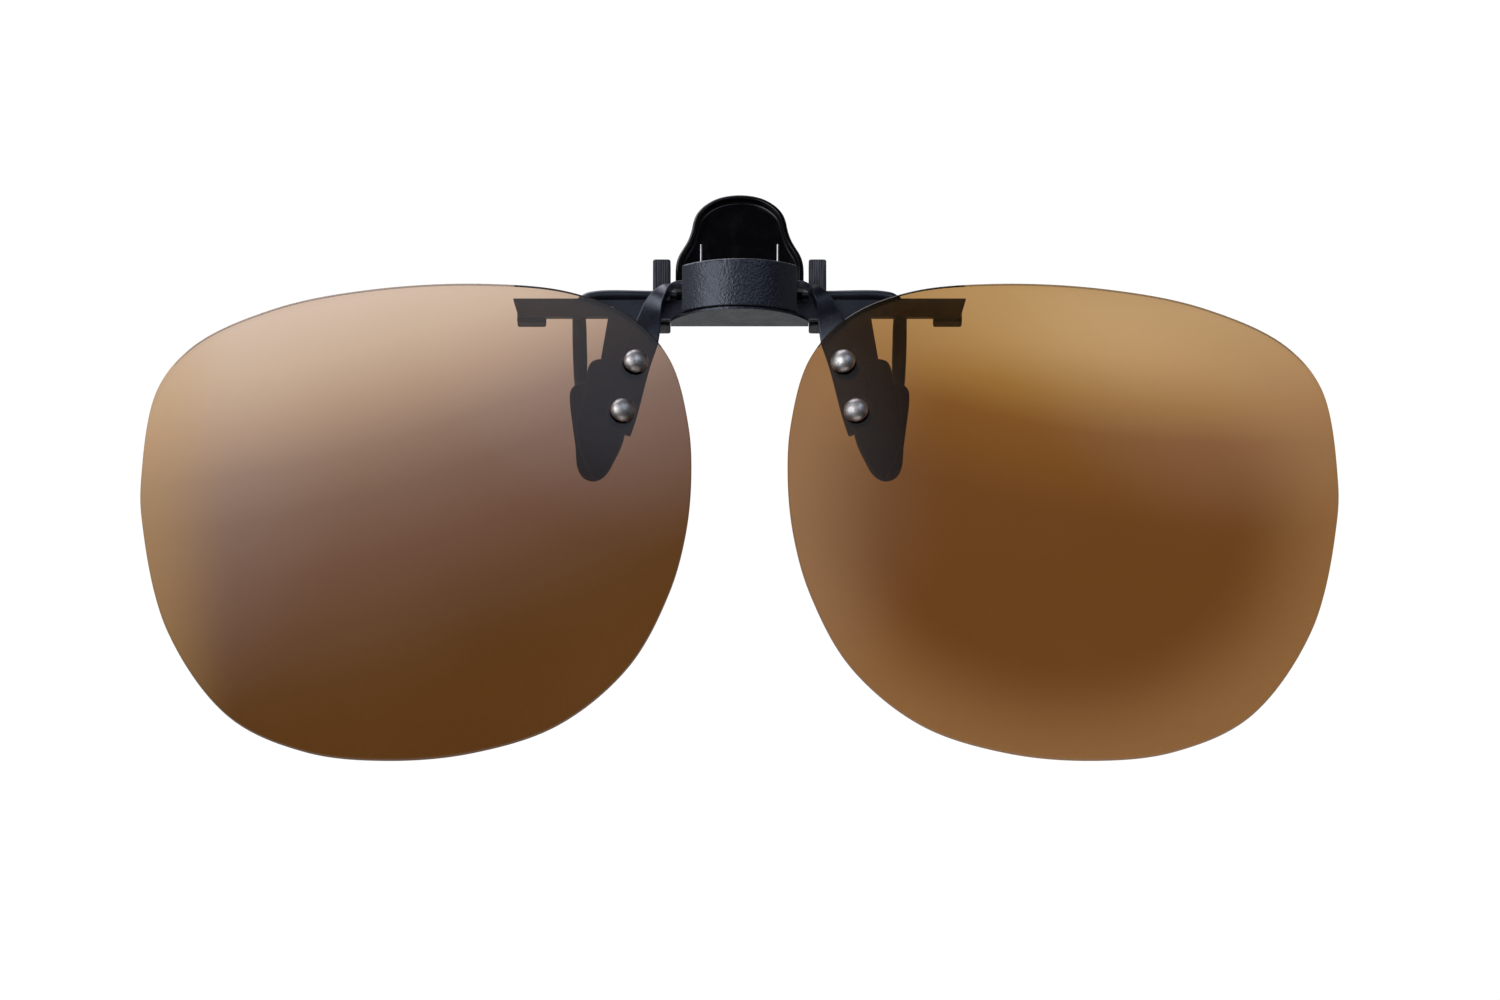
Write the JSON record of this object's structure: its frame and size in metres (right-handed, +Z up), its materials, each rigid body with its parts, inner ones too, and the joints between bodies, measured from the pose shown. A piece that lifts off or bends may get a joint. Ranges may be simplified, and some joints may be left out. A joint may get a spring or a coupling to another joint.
{
  "type": "clip-on flip-up sunglasses",
  "caption": "Tinted lens pair on a friction hinge, carried by a sprung clip with a thumb lever that grips a pair of glasses at the bridge and flips the lenses up.",
  "frame": {"origin": "seat of the glasses: middle of the width, on the plane of the front grips' back faces, level with the underside of the rim rests", "axes": "+X to the right seen from the front, along the flip axis; -Y towards the front, away from the glasses; +Z up"},
  "size_m": [0.1242, 0.015, 0.0641],
  "materials": {
    "black_paint": "matte, fine grain",
    "black_lever": "glossy",
    "brown_lens": "polished, clear brown tint",
    "rivet_steel": "satin, lightly pitted",
    "spring_steel": "bright drawn wire",
    "silicone": "matte",
    "bumper_silicone": "matte, fine ribs",
    "dark_nylon": "matte"
  },
  "bodies": {
    "clip_base": {"hinge_base": "black_paint", "hinge_cap": "black_paint", "front_jaw_plate": "black_paint", "pivot_bracket": "black_paint", "plate_rivet_right": "rivet_steel", "plate_rivet_left": "rivet_steel", "front_grip_right": "silicone", "front_grip_left": "silicone", "rim_rest_cap_right": "silicone", "rim_rest_cap_left": "silicone", "bridge_bumper_right": "bumper_silicone", "bridge_bumper_left": "bumper_silicone", "detent_spring": "spring_steel", "jaw_spring": "spring_steel"},
    "lens_frame": {"flip_axle": "spring_steel", "lens_arm_right": "black_paint", "lens_arm_left": "black_paint", "lens_right": "brown_lens", "lens_left": "brown_lens", "lens_rivet_upper_right": "rivet_steel", "lens_rivet_upper_left": "rivet_steel", "lens_rivet_lower_right": "rivet_steel", "lens_rivet_lower_left": "rivet_steel", "rivet_front_washer_upper_right": "dark_nylon", "rivet_front_washer_upper_left": "dark_nylon", "rivet_front_washer_lower_right": "dark_nylon", "rivet_front_washer_lower_left": "dark_nylon", "rivet_rear_washer_upper_right": "rivet_steel", "rivet_rear_washer_upper_left": "rivet_steel", "rivet_rear_washer_lower_right": "rivet_steel", "rivet_rear_washer_lower_left": "rivet_steel"},
    "rear_jaw": {"thumb_lever": "black_lever", "jaw_wire": "black_paint", "rear_grip_right": "silicone", "rear_grip_left": "silicone"}
  },
  "joints": [
    {"name": "lens_flip", "type": "hinge", "parent": "clip_base", "child": "lens_frame", "pos_m": [0, -0.0032, 0.0034], "axis": [-1, 0, 0], "range_deg": [0, 90], "deforming": ["detent_spring"]},
    {"name": "jaw_open", "type": "hinge", "parent": "clip_base", "child": "rear_jaw", "pos_m": [0, 0.0011, 0.00355], "axis": [1, 0, 0], "range_deg": [0, 25], "stiffness_Nm_per_rad": 0.06, "springref_deg": -28.65, "deforming": ["jaw_spring"]}
  ]
}
